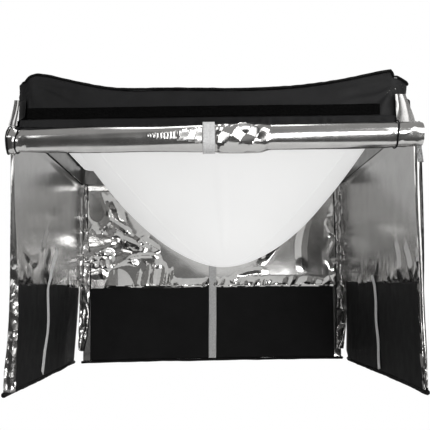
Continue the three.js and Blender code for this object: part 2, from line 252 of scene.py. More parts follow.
def tube(name, path, radius, material, sides=10, closed=False):
    """A tube round a path of points. radius is one value or one for each point."""
    radius = np.broadcast_to(radius, len(path)).astype(float)
    if not closed:
        tips = []
        for end, inner in ((0, 1), (-1, -2)):
            out = path[end] - path[inner]
            tips.append([path[end] + out / np.linalg.norm(out) * radius[end] * TIP_LENGTH])
        path = np.concatenate([tips[0], path, tips[1]])
        radius = np.concatenate([radius[:1] * TIP_RADIUS, radius, radius[-1:] * TIP_RADIUS])
    n = len(path)
    ahead = np.roll(path, -1, 0) - np.roll(path, 1, 0)
    if not closed:
        ahead[0], ahead[-1] = path[1] - path[0], path[-1] - path[-2]
    ahead /= np.linalg.norm(ahead, axis=1, keepdims=True)
    side = np.cross(ahead, (0, 0, 1.0))
    weak = np.linalg.norm(side, axis=1) < 0.2
    side[weak] = np.cross(ahead[weak], (0, 1.0, 0))
    side /= np.linalg.norm(side, axis=1, keepdims=True)
    over = np.cross(side, ahead)
    turn = np.linspace(0, 2 * np.pi, sides, endpoint=False)[None, :, None]
    ring = side[:, None] * np.cos(turn) + over[:, None] * np.sin(turn)
    verts = (path[:, None] + ring * radius[:, None, None]).reshape(-1, 3)
    i, j = numbered(n if closed else n - 1, sides)
    k, m = (i + 1) % n, (j + 1) % sides
    faces = np.stack([i * sides + j, i * sides + m, k * sides + m, k * sides + j], 1).tolist()
    if not closed:
        faces += [list(range(sides))[::-1], list(range((n - 1) * sides, n * sides))]
    return finished(name, verts, faces, [material], clean=face_outwards)


def ribbon(name, path, across, width, thickness, material, cells=6):
    """A flat strap along a path of points, spread to both sides along across."""
    share = np.linspace(-0.5, 0.5, cells + 1)[None, :, None]
    across = np.broadcast_to(across, path.shape)
    return shell(name, path[:, None] + across[:, None] * (share * width), thickness, material)


def turned(front, side):
    """Points built as the front side's, turned to side 0 front, 1 right, 2 back or 3 left."""
    c, s = ((1, 0), (0, 1), (-1, 0), (0, -1))[side]
    x, y = front[..., 0], front[..., 1]
    return np.stack([c * x - s * y, s * x + c * y, front[..., 2]], -1)


def grid(nu, nv):
    """Shares of a grid's two directions, each from 0 to 1."""
    return np.meshgrid(np.linspace(0, 1, nu), np.linspace(0, 1, nv), indexing="ij")


# ---- materials ----
def grey(level):
    return (level, level, level)


def material(name, colour, roughness, metallic=0.0, **sockets):
    """A new Principled material, its node tree and its shader. sockets are even values of the shader."""
    m = bpy.data.materials.new(name)
    m.use_nodes = True
    shader = m.node_tree.nodes["Principled BSDF"]
    sockets |= {"Base_Color": (*colour, 1), "Roughness": roughness, "Metallic": metallic}
    for socket, value in sockets.items():
        shader.inputs[socket.replace("_", " ")].default_value = value
    return m, m.node_tree, shader


def node(tree, kind, **settings):
    """A shader node. Each setting is linked to or set on the input of its name, or else is a property."""
    made = tree.nodes.new("ShaderNode" + kind)
    for key, value in settings.items():
        socket = made.inputs.get(key.replace("_", " "))
        if socket is None:
            setattr(made, key, value)
        elif isinstance(value, bpy.types.NodeSocket):
            tree.links.new(value, socket)
        else:
            socket.default_value = value
    return made


def object_place(tree):
    return node(tree, "TexCoord").outputs["Object"]


def noise_node(tree, scale, detail=3.0, rough=0.5, stretch=None):
    """A noise texture in the object's own metres, with stretch as a scale along each axis."""
    place = object_place(tree)
    if stretch:
        place = node(tree, "Mapping", Vector=place, Scale=stretch).outputs["Vector"]
    return node(tree, "TexNoise", Vector=place, Scale=scale, Detail=detail, Roughness=rough).outputs["Fac"]


def two_colours(tree, shader, factor, dark, light, low=0.35, high=0.65):
    """Base colour between dark and light as factor goes from low to high."""
    stops = node(tree, "ValToRGB", Fac=factor)
    for stop, place, colour in zip(stops.color_ramp.elements, (low, high), (dark, light)):
        stop.position, stop.color = place, (*colour, 1)
    tree.links.new(stops.outputs["Color"], shader.inputs["Base Color"])


def spread_roughness(tree, shader, factor, low, high):
    spread = node(tree, "MapRange", Value=factor, To_Min=low, To_Max=high)
    tree.links.new(spread.outputs["Result"], shader.inputs["Roughness"])


def bump(tree, shader, *layers):
    """Bump layers of (height socket, strength, distance in metres), each added to the ones before."""
    normal = None
    for height, strength, distance in layers:
        layer = node(tree, "Bump", Height=height, Strength=strength, Distance=distance)
        if normal:
            tree.links.new(normal, layer.inputs["Normal"])
        normal = layer.outputs["Normal"]
    tree.links.new(normal, shader.inputs["Normal"])


def weave(tree, threads):
    """Height of a plain weave with that many threads to a metre, the same on faces that face any way."""
    parts = node(tree, "SeparateXYZ", Vector=object_place(tree)).outputs
    total = None
    for axis in "XYZ":
        scaled = node(tree, "Math", operation="MULTIPLY", Value=parts[axis])
        scaled.inputs[1].default_value = threads * math.pi
        wave = node(tree, "Math", operation="SINE", Value=scaled.outputs[0]).outputs[0]
        if total is None:
            total = wave
        else:
            added = node(tree, "Math", operation="ADD", Value=total)
            tree.links.new(wave, added.inputs[1])
            total = added.outputs[0]
    return total


def nylon(name, dark, light, roughness, gloss):
    """Black nylon cloth: fine weave, soft wrinkles, and a little dust."""
    m, tree, shader = material(name, dark, roughness, Specular_IOR_Level=gloss)
    two_colours(tree, shader, noise_node(tree, 14, 6, 0.6), dark, light)
    spread_roughness(tree, shader, noise_node(tree, 30, 3), roughness - 0.08, roughness + 0.1)
    wrinkles = (noise_node(tree, 45, 4, 0.6), 0.35, 0.0012), (noise_node(tree, 11, 2), 0.3, 0.004)
    bump(tree, shader, (weave(tree, 900), 0.25, 0.0002), *wrinkles)
    return m


def foil(name, dark, light, roughness, crease):
    """Silver film on cloth: sharp small creases over the folds of the mesh, with duller rubbed patches."""
    m, tree, shader = material(name, light, roughness, 1.0)
    two_colours(tree, shader, noise_node(tree, 18, 5, 0.6), dark, light, 0.3, 0.7)
    spread_roughness(tree, shader, noise_node(tree, 26, 4), roughness - 0.05, roughness + 0.1)
    fine, coarse = noise_node(tree, 160, 2), noise_node(tree, 38, 3, 0.6)
    bump(tree, shader, (fine, crease * 0.6, 0.0004), (coarse, crease, 0.0016))
    return m


BLACK = nylon("black_nylon", (0.0085, 0.0085, 0.009), (0.014, 0.014, 0.0147), 0.5, 0.22)
BAND = nylon("band_nylon", (0.004, 0.004, 0.0042), (0.0055, 0.0055, 0.0058), 0.65, 0.15)
PIPING = nylon("piping_nylon", (0.003, 0.003, 0.003), (0.006, 0.006, 0.006), 0.7, 0.2)
FOIL = foil("silver_foil", (0.58, 0.575, 0.565), (0.68, 0.675, 0.665), 0.10, 0.04)
FOIL_ROLLED = foil("silver_foil_rolled", (0.60, 0.595, 0.585), (0.72, 0.715, 0.705), 0.17, 0.06)
# A darker copy of the silver foil: painted shade for the inner face of the header.
FOIL_DEEP_SHADE = foil("silver_foil_painted_deep_shade", (0.15, 0.148, 0.145), (0.21, 0.208, 0.205), 0.28, 0.06)
# A darker copy of the silver foil: painted shade for the side linings and the front and corner strips.
FOIL_WALL_SHADE = foil("silver_foil_painted_wall_shade", (0.35, 0.345, 0.34), (0.41, 0.405, 0.40), 0.20, 0.05)
DIFFUSER_PAINTED_GLOW = 0.53  # painted glow: emission that keeps the cloth evenly bright, with no lamp lit inside


def diffuser_cloth():
    # The emission is painted light that makes the bowl evenly bright; no lamp inside is lit.
    glow = {"Emission_Color": (1, 1, 0.995, 1), "Emission_Strength": DIFFUSER_PAINTED_GLOW}
    m, tree, shader = material("diffuser_cloth", (0.6, 0.6, 0.595), 0.8, **glow)
    two_colours(tree, shader, noise_node(tree, 6, 3), (0.50, 0.50, 0.497), (0.54, 0.54, 0.537))
    bump(tree, shader, (weave(tree, 1100), 0.15, 0.0001), (noise_node(tree, 9, 2), 0.15, 0.002))
    return m


def hook_tape():
    """Fuzzy loops: fine high-contrast noise."""
    m, tree, shader = material("hook_tape", grey(0.004), 0.95, Specular_IOR_Level=0.05)
    two_colours(tree, shader, noise_node(tree, 500, 3, 0.7), grey(0.0008), grey(0.006))
    bump(tree, shader, (noise_node(tree, 700, 4, 0.7), 0.9, 0.0009), (noise_node(tree, 90, 2), 0.5, 0.001))
    return m


def webbing(name, dark, light):
    """Grey strap: ribs across and a darker fleck."""
    m, tree, shader = material(name, grey(light), 0.8, Sheen_Weight=0.2)
    two_colours(tree, shader, noise_node(tree, 260, 3, 0.7), grey(dark), grey(light))
    bump(tree, shader, (weave(tree, 620), 0.6, 0.0005), (noise_node(tree, 500, 2), 0.3, 0.0003))
    return m


def fuzzy_tab():
    m, tree, shader = material("tab_webbing", grey(0.3), 0.9, Sheen_Weight=0.2)
    two_colours(tree, shader, noise_node(tree, 420, 4, 0.7), grey(0.08), grey(0.46), 0.4, 0.6)
    bump(tree, shader, (noise_node(tree, 380, 3, 0.7), 0.9, 0.001))
    return m


def metal(name, dark, light, roughness, grain):
    """Turned or cast metal with a fine grain and small scratches."""
    m, tree, shader = material(name, light, roughness, 1.0)
    two_colours(tree, shader, noise_node(tree, 60, 4), dark, light)
    spread_roughness(tree, shader, noise_node(tree, 90, 4), roughness - 0.07, roughness + 0.12)
    bump(tree, shader, (noise_node(tree, 500, 2, 0.5, (1, 1, grain)), 0.15, 0.0002))
    return m


def moulded(name):
    m, tree, shader = material(name, grey(0.02), 0.45)
    two_colours(tree, shader, noise_node(tree, 40, 3), grey(0.014), grey(0.026))
    pits = node(tree, "TexVoronoi", Vector=object_place(tree), Scale=900).outputs["Distance"]
    bump(tree, shader, (noise_node(tree, 1400, 2), 0.3, 0.0002), (pits, 0.15, 0.0002))
    return m


WHITE = diffuser_cloth()
HOOK = hook_tape()
STRAP = webbing("strap_webbing", 0.50, 0.68)
ROLL_STRAP = webbing("roll_strap_webbing", 0.78, 0.97)
TAB = fuzzy_tab()
ALUMINIUM = metal("cast_aluminium", (0.42, 0.43, 0.45), (0.6, 0.61, 0.63), 0.38, 1)
STEEL = metal("zinc_steel", (0.45, 0.45, 0.46), (0.66, 0.66, 0.67), 0.28, 8)
MOULDED = moulded("moulded_plastic")


# ---- placing pieces ----
def place(piece, body, slot, *nodes):
    """The piece rides on a body and stands for CAD nodes, which are hidden. slot is not used."""
    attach(piece, body)
    if nodes:
        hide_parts(*nodes)


# ---- camera ----
CAMERA_AT = (-0.0296, -2.0496, up(0.2184))
CAMERA_YAW = 0.0157  # towards +X
CAMERA_PITCH = 0.1094  # upwards
CAMERA_ROLL = 0.009
CAMERA_LENS = 60.4


def make_camera():
    data = bpy.data.cameras.new("camera")
    data.lens, data.sensor_width = CAMERA_LENS, 36
    camera = bpy.data.objects.new("camera", data)
    bpy.context.collection.objects.link(camera)
    level = math.cos(CAMERA_PITCH)
    across, forward = math.sin(CAMERA_YAW), math.cos(CAMERA_YAW)
    ahead = Vector((across * level, forward * level, math.sin(CAMERA_PITCH)))
    right = ahead.cross(Vector((0, 0, 1))).normalized()
    over = right.cross(ahead)
    tilted = right * math.cos(CAMERA_ROLL) - over * math.sin(CAMERA_ROLL)
    upright = tilted.cross(ahead)
    turn = Matrix((tilted, upright, -ahead)).transposed()
    camera.matrix_world = Matrix.Translation(CAMERA_AT) @ turn.to_4x4()
    bpy.context.scene.camera = camera


make_camera()

# ---- header ----
LEFT, RIGHT, BACK = 3, 1, 2
EAR = 0.405  # distance of the pushed-up ears from the middle of a side
CORNER_R = 0.050
CORNER_TOPS = (0.7060, 0.7040, 0.6980, 0.6980)  # the corners' heights: front left, front right, back ones
FRONT_TOP = (
    (-0.45, 0.698), (-0.4354, CORNER_TOPS[0]), (-0.425, 0.7145), (-0.4106, 0.7192), (-0.39, 0.7175),
    (-0.35, 0.7085), (-0.24, 0.6865), (-0.1, 0.685), (0.105, 0.6845), (0.2, 0.6908), (0.306, 0.7067),
    (0.37, 0.720), (0.4016, 0.7255), (0.42, 0.7250), (0.4354, CORNER_TOPS[1] + 0.0165), (0.45, 0.7150),
)
SIDE_TOP = (
    (0, 0.685), (0.12, 0.6865), (0.25, 0.697), (0.33, 0.7085), (0.365, 0.7105), (0.40, 0.706), (0.45, 0.700),
)


def front_top(x):
    """Height of the front edge, which sags more to the left of the middle and drops at its right end."""
    return along(x, *FRONT_TOP) - 0.0165 * ramp(x, 0.4025, 0.4065)


def side_top(side, x):
    """Height of the edge on another side: a sag between two ears, which meets the corners' heights."""
    high = along(np.abs(x), *SIDE_TOP)
    end = np.where(x < 0, CORNER_TOPS[side], CORNER_TOPS[(side + 1) % 4])
    return high + (end - high) * ramp(np.abs(x), 0.385, 0.4354)


def rim_plan(u, inset=0.0):
    """The plan point at share u of the way round, from the middle of the front-left corner to the right,
    with which side it is on and how far along that side it is."""
    side = np.floor(u * 4).astype(int) % 4
    half, radius = HALF - inset, CORNER_R - inset
    straight = 2 * (HALF - CORNER_R)
    arc = np.pi / 4 * CORNER_R
    s = (u * 4 % 1) * (straight + 2 * arc)
    x = np.clip(s - arc, 0, straight) - straight / 2
    y = np.full_like(x, -half)
    first, last = s < arc, s > straight + arc
    for where, sign, turn in ((first, -1, (arc - s) / CORNER_R), (last, 1, (s - straight - arc) / CORNER_R)):
        x = np.where(where, sign * (straight / 2 + radius * np.sin(turn)), x)
        y = np.where(where, -half + radius - radius * np.cos(turn), y)
    flat = turned_by(np.stack([x, y, np.zeros_like(x)], -1), side)
    return flat, side, x


def turned_by(front, side):
    """turned() with a side for each point."""
    out = np.zeros_like(front)
    for k in range(4):
        out = np.where((side == k)[..., None], turned(front, k), out)
    return out


def top_height(side, x):
    high = front_top(x)
    for k in (RIGHT, BACK, LEFT):
        high = np.where(side == k, side_top(k, x), high)
    return high


def gathers(side, x, h):
    """Folds in the header's cloth that run out from the ears, in metres inwards."""
    total = np.zeros_like(x)
    for sign in (-1, 1):
        dx, dz = EAR - sign * x, 0.70 - h
        angle = np.arctan2(dz, dx + 0.02)
        far = np.hypot(dx, dz)
        fold = np.abs(np.sin(6.5 * angle + 3 * noise(angle * 2, far * 8, 31 + 7 * sign) + side))
        total += fold * 0.0034 * ramp(far, 0.16, 0.03) * ramp(far, 0.0, 0.02)
    return total


HEADER_LOW = 0.601
SIDE_NAMES = ("front", "right", "back", "left")


def make_header():
    nu, nv = 720, 30
    u = np.arange(nu) / nu
    flat, side, x = rim_plan(u)
    high = top_height(side, x) - 0.003
    v = np.linspace(0, 1, nv)
    h = HEADER_LOW + (high[:, None] - HEADER_LOW) * v
    ahead = np.roll(flat, -1, 0) - np.roll(flat, 1, 0)
    ahead = ahead / np.linalg.norm(ahead, axis=1, keepdims=True)
    fx, fy = flat[:, None, 0], flat[:, None, 1]
    xx, ss = np.broadcast_to(x[:, None], h.shape), np.broadcast_to(side[:, None], h.shape)
    belly = np.sin(np.pi * np.clip((h - HEADER_LOW) / 0.1, 0, 1))
    inward = 0.0012 + 0.003 * belly * ramp(np.abs(xx), 0.45, 0.2)
    inward = inward + gathers(ss, xx, h) * belly**0.5
    inward = inward + 0.0009 * noise(xx * 22 + 9 * ss, h * 30, 5) + 0.0014 * noise(xx * 7 + 5 * ss, h * 12, 6)
    inward = np.maximum(inward, 0.0006)
    near_left = ((ss == LEFT) | (ss == 0)) * ramp(fx, -0.435, -0.449) * ramp(fy, -0.30, -0.40)
    inward = inward - 0.0075 * near_left
    middle = points(fx - ahead[:, None, 1] * inward, fy + ahead[:, None, 0] * inward, h)
    # The header's inner face takes the darkest foil copy, which is painted shade.
    piece = shell("cover_header", middle, CLOTH, BLACK, FOIL_DEEP_SHADE, loop=True)
    place(piece, "cover", "black_cloth", "header_band")


def make_binding():
    nu = 900
    u = np.arange(nu) / nu
    flat, side, x = rim_plan(u)
    high = top_height(side, x)
    lump = 0.0004 * noise(u * 300, 0, 41) + 0.0006 * noise(u * 90, 3, 42)
    ear = ramp(np.abs(np.abs(x) - EAR), 0.03, 0.0)
    path = points(flat[:, 0], flat[:, 1], high - 0.001 + lump * (0.4 + 2.5 * ear))
    radius = 0.0030 + 0.0004 * noise(u * 260, 7, 43)
    piece = tube("cover_edge_binding", path, radius, PIPING, 8, closed=True)
    place(piece, "cover", "black_cloth", "edge_binding")


def make_hook_strips():
    """Hook strips on the four sides. The front one is shifted to the left, and rises to the right."""
    for side, name in enumerate(SIDE_NAMES):
        middle, half, tilt = (-0.027, 0.400, 0.0085) if side == 0 else (0.0, 0.405, 0.0)
        s, w = grid(420, 10)
        x = middle + (2 * s - 1) * half
        fray = 0.0007 * noise(x * 420, w * 2 + side, 54)
        h = 0.6305 + (w - 0.5) * (0.025 + fray) + tilt * x + 0.0006 * noise(x * 14, side, 51)
        y = -HALF - 0.0004 + 0.0003 * noise(x * 90, w * 6, 52) - 0.0004 * noise(x * 12, w, 53)
        piece = shell(f"hook_tape_{name}", turned(points(x, y, h), side), 0.0012, HOOK)
        place(piece, "cover", "hook_strip", f"hook_strip_{name}")


def make_front_border():
    """The front skirt's own top border, gathered into small ruffles along its lower edge."""
    s, w = grid(620, 16)
    x = -0.442 + s * 0.852
    h = 0.6155 - 0.0185 * w + 0.0085 * x
    ruffle = 0.5 + 0.5 * np.sin(x * 210 + 5 * noise(x * 22, 0, 61))
    ruffle = ruffle * (0.45 + 0.55 * noise(x * 9, 4, 62)) + 0.5 * noise(x * 75, w, 63)
    y = -HALF - 0.0016 - w**1.3 * (0.0022 + 0.0030 * ruffle)
    h = h - w * 0.0016 * noise(x * 60, 2, 64)
    piece = shell("front_border_ruffle", points(x, y, h), HEAVY_CLOTH, BLACK)
    place(piece, "cover", "black_cloth", "front_skirt_border")


# ---- roof ----
HOLE_R, HOLE_H = 0.101, 0.757


def make_roof():
    nu, nv = 640, 60
    u = np.arange(nu) / nu
    flat, side, x = rim_plan(u, 0.001)
    high = top_height(side, x) - 0.002
    angle = np.arctan2(flat[:, 1], flat[:, 0])
    v = np.linspace(0, 1, nv)[None, :]
    share = (u * 4 % 1)[:, None]
    inner = np.stack([HOLE_R * np.cos(angle), HOLE_R * np.sin(angle)], -1)[:, None]
    px = inner[..., 0] + (flat[:, None, 0] - inner[..., 0]) * v
    py = inner[..., 1] + (flat[:, None, 1] - inner[..., 1]) * v
    between = np.sin(np.pi * share)
    sag = 0.009 * between * np.sin(np.pi * v)
    from_rod = np.minimum(share, 1 - share)
    over_rod = 0.0012 * np.exp(-((from_rod / 0.016) ** 2)) * np.sin(np.pi * v) ** 0.5
    fan = from_rod * 4
    folds = 0.0022 * np.abs(np.sin(np.pi * 2.2 * fan + 2 * noise(share * 5 + 3, v * 2, 71)))
    folds = folds * ramp(v, 0.55, 1.0) * ramp(fan, 0, 0.3) * ramp(fan, 1.6, 0.7)
    folds = folds + 0.0012 * noise(px * 14, py * 14, 72) * np.sin(np.pi * v)
    wave = 2 * noise(angle[:, None] * 6, v * 3, 73)
    pucker = 0.0012 * np.sin(angle[:, None] * 40 + wave) * ramp(v, 0.25, 0.0)
    h = HOLE_H + (high[:, None] - HOLE_H) * v - sag + over_rod - folds + pucker
    piece = shell("cover_roof", points(px, py, h), CLOTH, BLACK, loop=True)
    nodes = [f"roof_panel_{s}" for s in SIDE_NAMES]
    place(piece, "cover", "black_cloth", *nodes)
    for k in range(4):
        i = k * nu // 4
        line = points(px[i], py[i], h[i] + 0.0012)[1:-1]
        place(tube(f"roof_seam_{k}", line, 0.0021, PIPING, 8), "cover", "black_cloth")
    rim = points(px[:, 0], py[:, 0], h[:, 0] + 0.0004)
    place(tube("roof_hole_binding", rim, 0.0024, PIPING, 8, closed=True), "cover", "black_cloth")


# ---- diffuser ----
BOWL_H, BOWL_HALF, BOWL_DEPTH, BOWL_POWER = 0.295, 0.420, 0.335, 1.85
BOWL_LEAN = 0.024  # the lowest point hangs this far to the right
BOWL_LEFT_PULL = 0.085  # the left half hangs this share narrower
BOWL_EDGE_H = 0.650


def make_diffuser():
    nu, nv = 320, 110
    angle = -0.75 * np.pi + np.arange(nu) / nu * 2 * np.pi
    v = np.linspace(0, 1, nv) ** 0.8
    bowl = 0.94
    d = np.clip(v / bowl, 0, 1)[None, :]
    power = 2 + 3 * d**3
    c, s = np.abs(np.cos(angle))[:, None], np.abs(np.sin(angle))[:, None]
    reach = BOWL_HALF * d / (c**power + s**power) ** (1 / power)
    quarter = np.abs((angle / (np.pi / 2) - 0.5) % 1 - 0.5)[:, None] * np.pi / 2
    diagonal = np.minimum(quarter, np.pi / 2 - quarter)
    reach = reach * (1 + 0.012 * np.exp(-(diagonal / 0.045) ** 2) * np.sin(np.pi * d))
    x, y = reach * np.cos(angle)[:, None], reach * np.sin(angle)[:, None]
    h = BOWL_H + BOWL_DEPTH * d**BOWL_POWER
    soft = 0.0015 * noise(x * 5, y * 5, 81) * np.sin(np.pi * d)
    x = x * (1 + soft) + BOWL_LEFT_PULL * (np.hypot(x, 0.05) - x) / 2 + BOWL_LEAN * (1 - d**2)
    flat, _, _ = rim_plan(np.arange(nu) / nu, 0.011)
    out = ramp(v, bowl, 1.0)[None, :]
    x = x * (1 - out) + flat[:, None, 0] * out
    y = y * (1 - out) + flat[:, None, 1] * out
    h = h * (1 - out) + BOWL_EDGE_H * out
    h = h + 0.0012 * noise(x * 60, y * 60, 82) * out
    piece = shell("diffuser_bowl", points(x, y, h), HEAVY_CLOTH, WHITE, loop=True, clean=weld)
    nodes = [f"diffuser_gore_{s}" for s in SIDE_NAMES]
    place(piece, "cover", "white_cloth", *nodes)
    for k in range(4):
        i = k * nu // 4
        line = points(x[i], y[i], h[i] - 0.0004)[6 : int(nv * 0.9)]
        across = np.array([-np.sin(angle[i]), np.cos(angle[i]), 0])
        seam = ribbon(f"diffuser_seam_{k}", line, across, 0.009, FILM, WHITE, 4)
        place(seam, "cover", "white_cloth")


# ---- skirts ----
SKIRTS = {"left": LEFT, "right": RIGHT, "back": BACK}
FACE = 0.4543  # middle of the hanging cloth
REAR_SWAY = (  # how far the left skirt's rear and front ends hang outwards, by height
    (0, 0.020), (0.05, 0.0165), (0.135, 0.0105), (0.24, 0.0045), (0.4, 0.0035), (0.56, 0.002), (0.66, 0),
)
FRONT_SWAY = (
    (0, 0.009), (0.06, 0.008), (0.1, 0.0045), (0.17, 0.0008), (0.43, 0.0015), (0.56, 0.003), (0.66, 0),
)


def sway(side, x, h):
    """How far a skirt's cloth hangs outwards of the flat plane, at x along its side and a height."""
    low = ramp(h, 0.56, 0.3)
    if side == LEFT:
        rear, front = along(h, *REAR_SWAY), along(h, *FRONT_SWAY)
        out = front + (rear - front) * ramp(x, 0.25, -0.44)
    elif side == RIGHT:
        out = 0.0035 * low * ramp(x, -0.35, 0.40) * ramp(h, 0.0, 0.12)
        out = out + 0.006 * ramp(h, 0.03, 0.0) * ramp(x, 0.40, 0.446)
        out = out + 0.002 * ramp(h, 0.30, 0.46) * ramp(h, 0.62, 0.58) * ramp(x, -0.3, -0.44)
    else:
        out = 0.003 * low * np.sin(7 * x + 0.7) + 0.002 * low
    middle = ramp(np.abs(x), 0.44, 0.2)
    return out + low * middle * 0.004 * noise(x * 5 + 11 * side, h * 2.0, 91)


HEM_DROPS = {  # how far the hem hangs below the common hem height, along each skirt
    LEFT: ((-0.45, 0.0125), (0.0, 0.006), (0.45, 0.0)),
    RIGHT: ((-0.45, 0.0050), (0.0, 0.0055), (0.45, 0.0090)),
    BACK: ((-0.45, 0.0075), (0.0, 0.0090), (0.45, 0.0140)),
}


def wall(side, x, h, inward):
    """Points of a skirt's layer that is set inward of its middle."""
    h = h - along(x, *HEM_DROPS[side]) * ramp(h, 0.20, 0.0)
    return turned(points(x, -FACE - sway(side, x, h) + inward, h), side)


ENDS = {LEFT: (-0.446, 0.452), RIGHT: (-0.452, 0.446), BACK: (-0.438, 0.444)}
BAND_TOP = 0.243
BAND_INSET = 0.024


def band_top(side, x):
    tilt = {LEFT: -0.004, RIGHT: 0.010, BACK: -0.008}[side]
    return BAND_TOP + 0.006 + tilt * x / 0.45 + 0.0010 * noise(x * 70, side, 101)


BACK_FOLDS = (  # height, width, bend, and the two ends seen from the front
    (0.008, 0.026, 0.06, (0.155, 0.325), (0.30, 0.465)),
    (0.008, 0.018, -0.05, (0.16, 0.345), (0.255, 0.47)),
    (0.007, 0.022, 0.08, (0.31, 0.30), (0.345, 0.50)),
    (0.003, 0.014, 0.10, (0.05, 0.262), (0.19, 0.30)),
    (0.005, 0.012, 0.0, (-0.388, 0.575), (-0.352, 0.475)),
    (0.007, 0.022, 0.05, (-0.352, 0.555), (-0.318, 0.462)),
    (0.005, 0.010, 0.0, (-0.440, 0.443), (-0.378, 0.436)),
    (0.005, 0.011, 0.0, (-0.392, 0.432), (-0.350, 0.482)),
    (0.006, 0.012, 0.0, (-0.362, 0.482), (-0.285, 0.432)),
    (0.007, 0.014, 0.0, (-0.312, 0.412), (-0.235, 0.378)),
    (0.010, 0.017, 0.0, (-0.268, 0.424), (-0.178, 0.368)),
    (0.004, 0.010, 0.12, (-0.352, 0.308), (-0.175, 0.350)),
)
SIDE_FOLDS = {  # the same, with places along the skirt
    LEFT: (
        (0.006, 0.016, 0.10, (0.36, 0.325), (0.17, 0.318)),
        (0.005, 0.014, 0.0, (0.15, 0.33), (0.08, 0.41)),
        (0.006, 0.020, 0.25, (0.13, 0.30), (0.01, 0.29)),
    ),
    RIGHT: (
        (0.006, 0.020, 0.10, (-0.28, 0.245), (-0.22, 0.36)),
        (0.006, 0.018, 0.05, (-0.38, 0.26), (-0.31, 0.34)),
        (0.005, 0.014, 0.12, (0.02, 0.25), (-0.05, 0.33)),
    ),
}


def placed_folds(x, h, table):
    total = 0.0
    for height, width, bend, start, stop in table:
        total = total + height * ridge(x, h, start, stop, width, bend)
    return total


def back_folds(x, h):
    """Inward height of the back lining's folds. wx is the place across as seen from the front."""
    wx = -x
    over = h - BAND_TOP
    edge = ramp(wx + 0.55 * (h - 0.40), -0.19, -0.25)
    left = edge * ramp(h, 0.305, 0.33) * ramp(h, 0.60, 0.54)
    calm = ramp(np.hypot((wx + 0.398) / 0.036, (h - 0.518) / 0.052), 0.75, 1.15)
    big = creased(wx * 0.85 + h * 0.45, h * 0.9 - wx * 0.35, 0.054, 111) * 0.52 * left * calm
    along_band = ramp(wx, -0.15, -0.12) * ramp(wx, 0.44, 0.40)
    small = creased(wx - 0.4 * h, h * 0.8, 0.030, 117) * 1.1 * ramp(over, 0.040, 0.012) * along_band
    low_corner = ramp(wx, -0.335, -0.36) * ramp(h, 0.385, 0.36) * ramp(h, 0.262, 0.30)
    low_left = creased(wx, h, 0.030, 119) * 0.8 * low_corner
    dome = 0.026 * np.clip(1 - ((wx + 0.322) / 0.056) ** 2 - ((h - 0.205) / 0.108) ** 2, 0, 1)
    fan = 0.016 * np.clip(1 - ((wx + 0.195) / 0.088) ** 2 - ((h - 0.195) / 0.135) ** 2, 0, 1)
    for k in range(5):
        low_end = -0.262 + 0.028 * k, 0.236
        high_end = -0.246 + 0.027 * k, 0.338 - 0.004 * (k - 2) ** 2
        fan = fan + 0.0045 * ridge(wx, h, low_end, high_end, 0.012, 0.05 * (-1) ** k)
    corner = creased(wx * 1.4, h, 0.05, 123) * 0.35 * ramp(wx, 0.375, 0.425)
    soft = 0.0030 * noise(wx * 7, h * 6, 126) * ramp(over, 0.0, 0.03)
    total = big + small + low_left + dome + fan + placed_folds(wx, h, BACK_FOLDS) + corner + soft
    return np.maximum(total, 0) * ramp(h, 0.60, 0.55) * ramp(over, -0.004, 0.008)


def side_folds(side, x, h):
    """Inward height of a side lining's folds: streaks, crumples above the band, and a crumpled front edge."""
    over = h - BAND_TOP
    under = ramp(over, -0.004, 0.008)
    toward_front = x if side == LEFT else -x
    streaks = 0.0005 * noise(x * 24 + 4 * side, h * 1.6, 131) * ramp(h, 0.25, 0.45)
    streaks = streaks + 0.0009 * noise(x * 7, h * 3.2, 132)
    near = crumple(x * 1.2, h * 0.8, 0.042, 137 + side) * 0.30 * ramp(over, 0.085, 0.006)
    near = near * (0.15 + 0.85 * ramp(noise(x * 6, side + 2, 139), -0.15, 0.35))
    total = streaks + near + placed_folds(x, h, SIDE_FOLDS[side])
    edge = crumple(x * 1.5, h, 0.028, 141 + side) * 0.26
    edge = edge * ramp(toward_front, 0.40, 0.43) * ramp(h, 0.36, 0.28)
    edge = edge * np.maximum(under, ramp(toward_front, 0.422, 0.430))
    return np.maximum(total, 0) * ramp(h, 0.605, 0.55) * under + edge


def make_lining(name, side):
    low, high = ENDS[side]
    # The side linings take the darker foil copy, which is painted shade; the back one takes the plain foil.
    cell, film = (0.0022, FOIL) if side == BACK else (0.0032, FOIL_WALL_SHADE)
    s, w = grid(int((high - low) / cell), int(0.592 / cell))
    x = low + s * (high - low)
    h = 0.012 + w * 0.594
    folds = back_folds(x, h) if side == BACK else side_folds(side, x, h)
    middle = wall(side, x, h, 0.0006 + folds + 0.0030 * ramp(h, 0.578, 0.600))
    piece = shell(f"{name}_lining", middle, THIN_FILM, film, crease=FOIL_CREASE)
    place(piece, f"{name}_skirt", "silver_cloth", f"{name}_skirt_panel")


def make_outer(name, side):
    """Black cloth outside, in one piece from its border on the header down to the hem."""
    low, high = ENDS[side]
    s, w = grid(200, 180)
    x = low + s * (high - low)
    h = 0.010 + w * 0.651
    wrinkle = 0.0012 * noise(x * 12, h * 5, 151 + side) * ramp(h, 0.6, 0.5)
    wrinkle = wrinkle + 0.0005 * noise(x * 45, h * 30, 152)
    press = 0.0012 * ramp(h, 0.60, 0.62)
    bent = CORNER_R + 0.004
    angle = np.maximum(np.abs(x) - (HALF - CORNER_R), 0) / bent
    amount = ramp(h, 0.598, 0.625)
    round_x = np.sign(x) * (HALF - CORNER_R + bent * np.sin(angle))
    x = np.where(angle > 0, x + (round_x - x) * amount, x)
    middle = wall(side, x, h, -0.0014 - np.abs(wrinkle) + press + bent * (1 - np.cos(angle)) * amount)
    piece = shell(f"{name}_outer", middle, CLOTH, BLACK)
    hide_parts(f"{name}_skirt_border")
    start = wall(side, np.array(0.0), np.array(0.608), 0.0)
    end = wall(side, np.array(0.0), np.array(0.570), 0.0)
    start[..., :2] = end[..., :2]
    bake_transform(piece)


